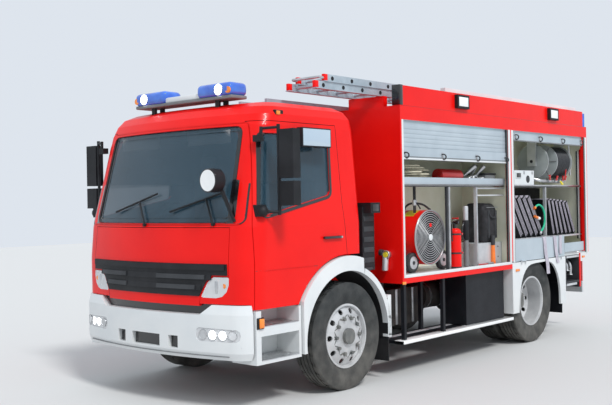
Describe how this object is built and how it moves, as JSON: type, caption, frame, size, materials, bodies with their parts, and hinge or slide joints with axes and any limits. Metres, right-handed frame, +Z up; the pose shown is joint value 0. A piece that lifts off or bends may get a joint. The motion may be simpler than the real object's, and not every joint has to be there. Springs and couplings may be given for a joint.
{
  "type": "fire engine",
  "caption": "Two-axle fire engine with hinged cab doors, service flap, fold-down step, open equipment lockers, hose reel, roof ladders and twin rear wheels that roll and steer.",
  "frame": {"origin": "on the ground under the middle of the vehicle", "axes": "-Y is the front, +X the vehicle's left side, +Z up"},
  "size_m": [2.86, 6.61, 2.961],
  "materials": {
    "red_paint": "glossy red paint",
    "white_paint": "glossy white paint",
    "black_plastic": "matt black plastic",
    "black_rubber": "black rubber hose",
    "black_fabric": "dark woven fabric",
    "seat_fabric": "dark seat fabric",
    "clear_glass": "clear glass",
    "lamp_lens": "clear lamp lens",
    "blue_lens": "blue lens plastic",
    "aluminium": "anodised aluminium",
    "dark_steel": "dark chassis paint",
    "tyre": "black tyre rubber",
    "rim_metal": "silver wheel paint"
  },
  "bodies": {
    "chassis": {"frame_rails": "dark_steel", "engine_block": "dark_steel", "leaf_springs": "dark_steel", "front_axle": "dark_steel", "rear_axle": "dark_steel", "propeller_shaft": "dark_steel", "underframe_tanks": "dark_steel", "bumper": "white_paint", "lamps": "lamp_lens", "cab_steps": "white_paint", "front_arches": "white_paint", "mudguards": "black_plastic", "rear_fenders": "white_paint", "running_boards": "aluminium", "rear_step": "aluminium", "intake_stack": "black_plastic", "cab_shell": "red_paint", "windscreen": "clear_glass", "dashboard": "black_plastic", "steering_wheel": "black_plastic", "seats": "seat_fabric", "wipers": "black_plastic", "light_bar": "blue_lens", "searchlight": "black_plastic", "body_shell": "red_paint", "locker_shelves": "aluminium", "shutters_closed": "aluminium", "shutters_raised": "aluminium", "roof_parapets": "red_paint", "scene_lamps": "lamp_lens", "ladders": "aluminium", "fan": "red_paint", "fire_extinguisher": "red_paint", "gear_bag": "black_fabric", "shelf_gear": "black_fabric", "power_box": "white_paint", "hose_cassettes": "black_plastic", "reel_brackets": "dark_steel", "flap_hinges": "dark_steel", "locker_sill": "aluminium", "body_subframe": "dark_steel", "cab_rests": "dark_steel", "towing_jaw": "dark_steel", "side_boxes": "dark_steel"},
    "door_left": {"door_left": "red_paint", "door_glass_left": "clear_glass", "mirrors_left": "black_plastic"},
    "door_right": {"door_right": "red_paint", "door_glass_right": "clear_glass", "mirrors_right": "black_plastic"},
    "front_flap": {"front_flap": "red_paint", "grille": "black_plastic"},
    "step_flap": {"step_flap": "aluminium"},
    "knuckle_left": {"knuckle_left": "dark_steel"},
    "knuckle_right": {"knuckle_right": "dark_steel"},
    "wheel_front_left": {"tyre_front_left": "tyre", "rim_front_left": "rim_metal"},
    "wheel_front_right": {"tyre_front_right": "tyre", "rim_front_right": "rim_metal"},
    "wheels_rear_left": {"tyres_rear_left": "tyre", "rims_rear_left": "rim_metal"},
    "wheels_rear_right": {"tyres_rear_right": "tyre", "rims_rear_right": "rim_metal"},
    "hose_reel": {"hose_reel": "black_rubber"}
  },
  "joints": [
    {"name": "door_left_hinge", "type": "hinge", "parent": "chassis", "child": "door_left", "pos_m": [1.146, -3.04, 1.5], "axis": [0, 0, -1], "range_deg": [0, 70]},
    {"name": "door_right_hinge", "type": "hinge", "parent": "chassis", "child": "door_right", "pos_m": [-1.146, -3.04, 1.5], "axis": [0, 0, 1], "range_deg": [0, 70]},
    {"name": "front_flap_hinge", "type": "hinge", "parent": "chassis", "child": "front_flap", "pos_m": [0, -3.24, 1.555], "axis": [-1, 0, 0], "range_deg": [0, 80]},
    {"name": "step_flap_hinge", "type": "hinge", "parent": "chassis", "child": "step_flap", "pos_m": [1.258, 1.865, 1.01], "axis": [0, 1, 0], "range_deg": [0, 90]},
    {"name": "steer_left", "type": "hinge", "parent": "chassis", "child": "knuckle_left", "pos_m": [0.86, -1.835, 0.5], "axis": [0, 0, 1], "range_deg": [-35, 35]},
    {"name": "steer_right", "type": "hinge", "parent": "chassis", "child": "knuckle_right", "pos_m": [-0.86, -1.835, 0.5], "axis": [0, 0, 1], "range_deg": [-35, 35]},
    {"name": "wheel_front_left_spin", "type": "hinge", "parent": "knuckle_left", "child": "wheel_front_left", "pos_m": [1.02, -1.835, 0.5], "axis": [1, 0, 0], "continuous": true},
    {"name": "wheel_front_right_spin", "type": "hinge", "parent": "knuckle_right", "child": "wheel_front_right", "pos_m": [-1.02, -1.835, 0.5], "axis": [1, 0, 0], "continuous": true},
    {"name": "wheels_rear_left_spin", "type": "hinge", "parent": "chassis", "child": "wheels_rear_left", "pos_m": [0.935, 1.725, 0.5], "axis": [1, 0, 0], "continuous": true},
    {"name": "wheels_rear_right_spin", "type": "hinge", "parent": "chassis", "child": "wheels_rear_right", "pos_m": [-0.935, 1.725, 0.5], "axis": [1, 0, 0], "continuous": true},
    {"name": "hose_reel_spin", "type": "hinge", "parent": "chassis", "child": "hose_reel", "pos_m": [0.98, 2.595, 2.225], "axis": [0, 1, 0], "continuous": true}
  ],
  "couplings": [
    {"joint": "steer_right", "follows": "steer_left", "ratio": 1}
  ]
}
